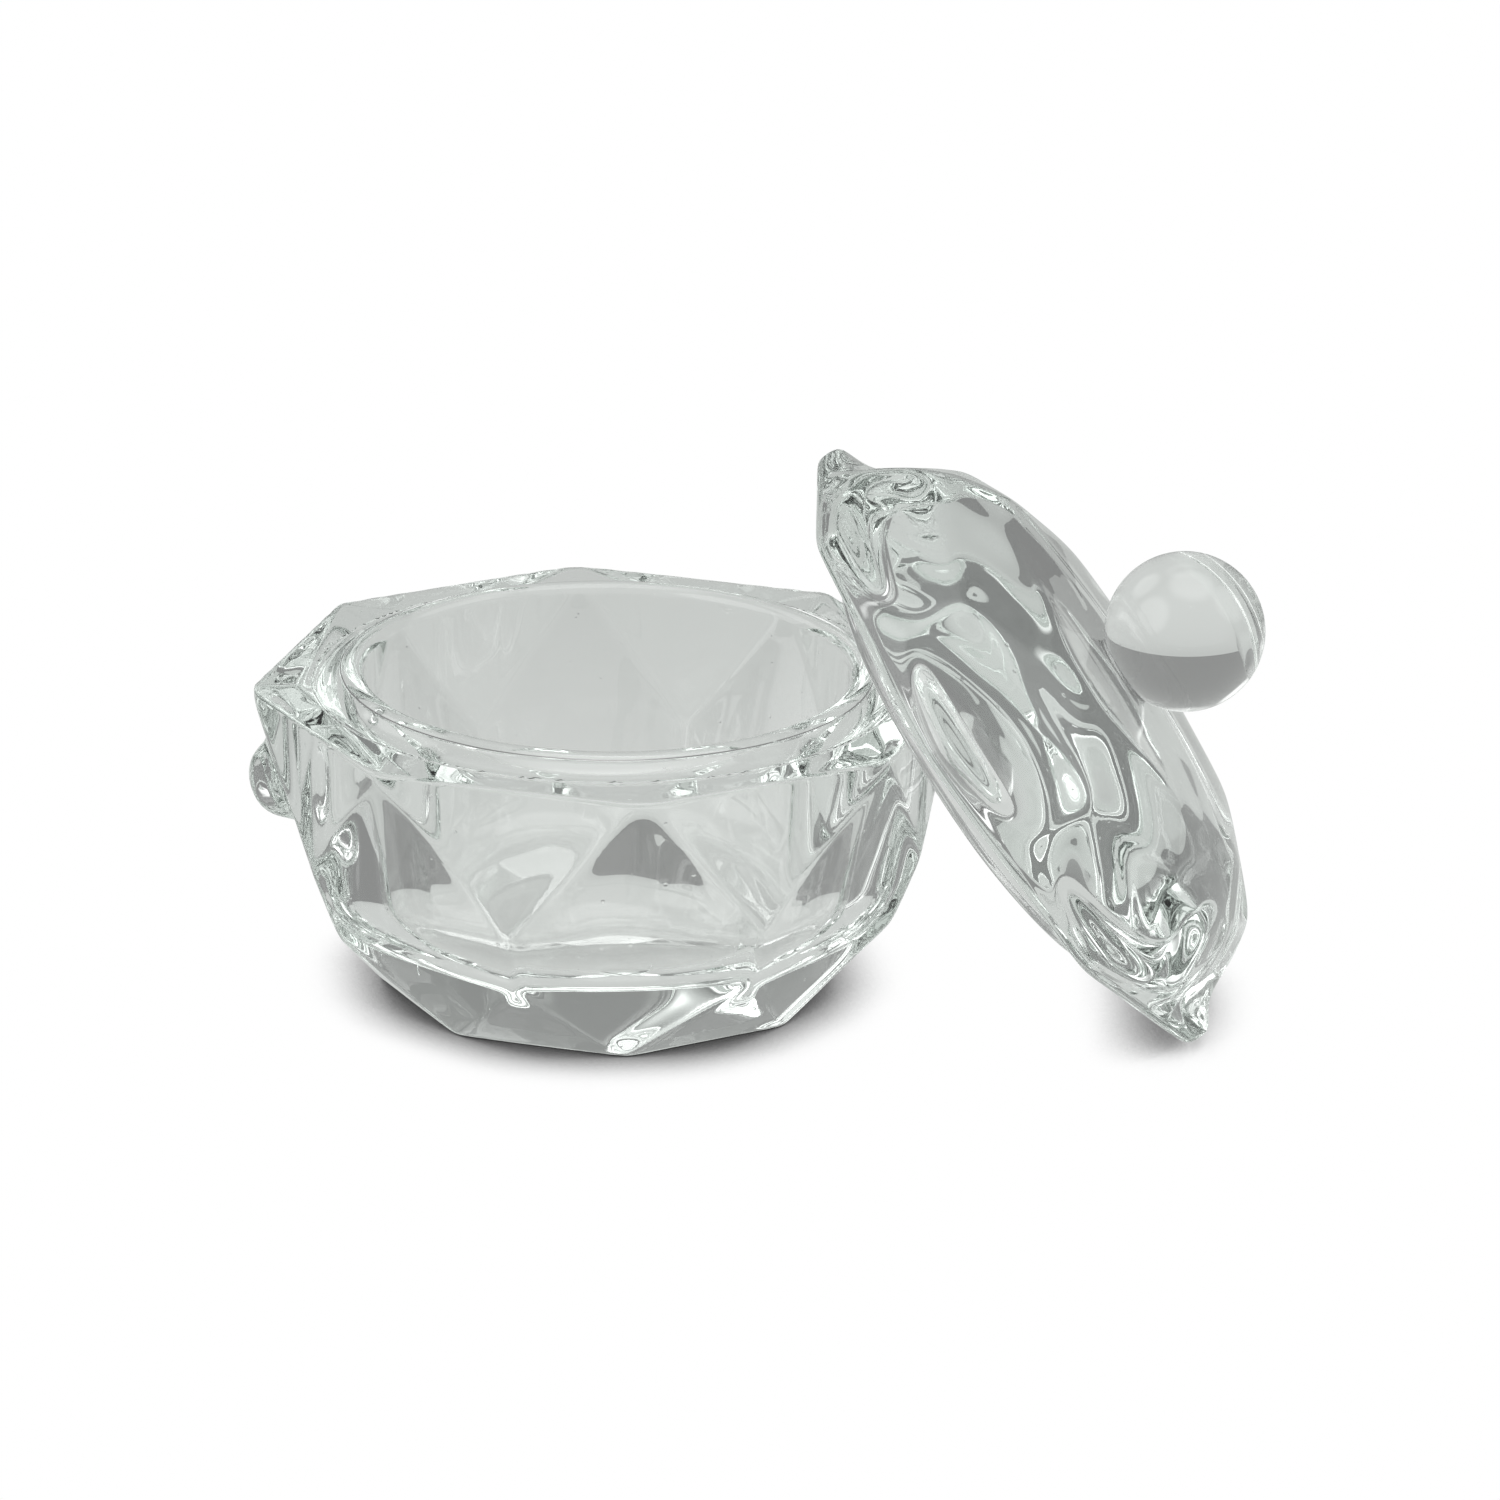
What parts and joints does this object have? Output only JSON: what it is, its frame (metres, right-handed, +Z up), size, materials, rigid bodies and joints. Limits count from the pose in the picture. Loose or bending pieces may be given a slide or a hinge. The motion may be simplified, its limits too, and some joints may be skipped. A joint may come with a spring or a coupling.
{
  "type": "dappen dish",
  "caption": "Faceted octagonal glass dappen dish with a round well and a raised mouth lip, its domed ball-knob lid taken off and leaning on the rim.",
  "frame": {"origin": "centre of the bowl's foot, on the surface it stands on", "axes": "+Z up through the bowl's mouth; +X from the bowl's centre through the rim corner that the lid leans on"},
  "size_m": [0.0835, 0.0662, 0.047],
  "materials": {
    "bowl_glass": "clear pressed crystal glass, faintly green-grey, gloss",
    "lid_glass": "clear pressed crystal glass, faintly green-grey, gloss",
    "knob_glass": "clear polished glass ball, gloss",
    "bond": "clear cured glass adhesive, gloss"
  },
  "bodies": {
    "bowl": {"bowl": "bowl_glass"},
    "lid": {"lid": "lid_glass", "knob_bond": "bond", "ball_knob": "knob_glass"}
  },
  "joints": [
    {"name": "lid_lift", "type": "slide", "parent": "bowl", "child": "lid", "axis": [0.799, -0.1052, 0.592], "range_m": [0, 0.06]}
  ]
}
